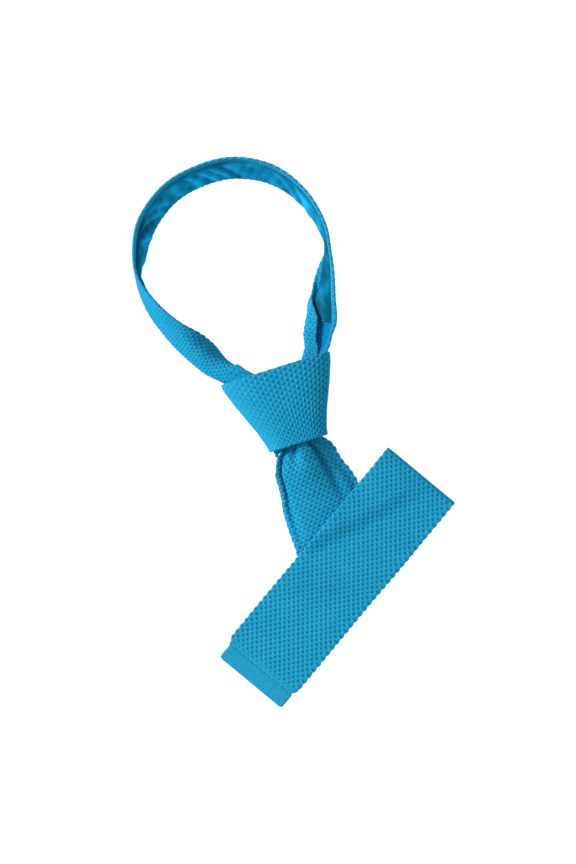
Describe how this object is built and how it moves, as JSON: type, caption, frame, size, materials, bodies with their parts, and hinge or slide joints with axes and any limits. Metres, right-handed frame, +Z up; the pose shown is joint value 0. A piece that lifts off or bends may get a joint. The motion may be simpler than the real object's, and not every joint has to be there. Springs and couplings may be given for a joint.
{
  "type": "knit tie",
  "caption": "Square-ended knit tie, knotted in a four-in-hand with an open neck loop, wide end folded back and laid slanting across, satin-lined neck band",
  "frame": {"origin": "centre of the part's footprint on the surface that it lies on", "axes": "+X across the tie to its right seen from above with the neck loop at the far end, +Y along the tie from the tip to the neck loop, +Z up from the surface"},
  "size_m": [0.2114, 0.3608, 0.0381],
  "materials": {
    "knit": "textured bead-stitch silk knit, soft sheen",
    "rib_knit": "fine ribbed silk knit, soft sheen",
    "satin": "smooth satin lining, softly wrinkled"
  },
  "bodies": {
    "root": {"neck_band": "knit", "neck_lining": "satin", "knot_wrap": "knit", "knot_under_wrap": "knit", "front_blade": "knit", "tip_hem": "rib_knit", "tail": "knit"}
  },
  "joints": []
}
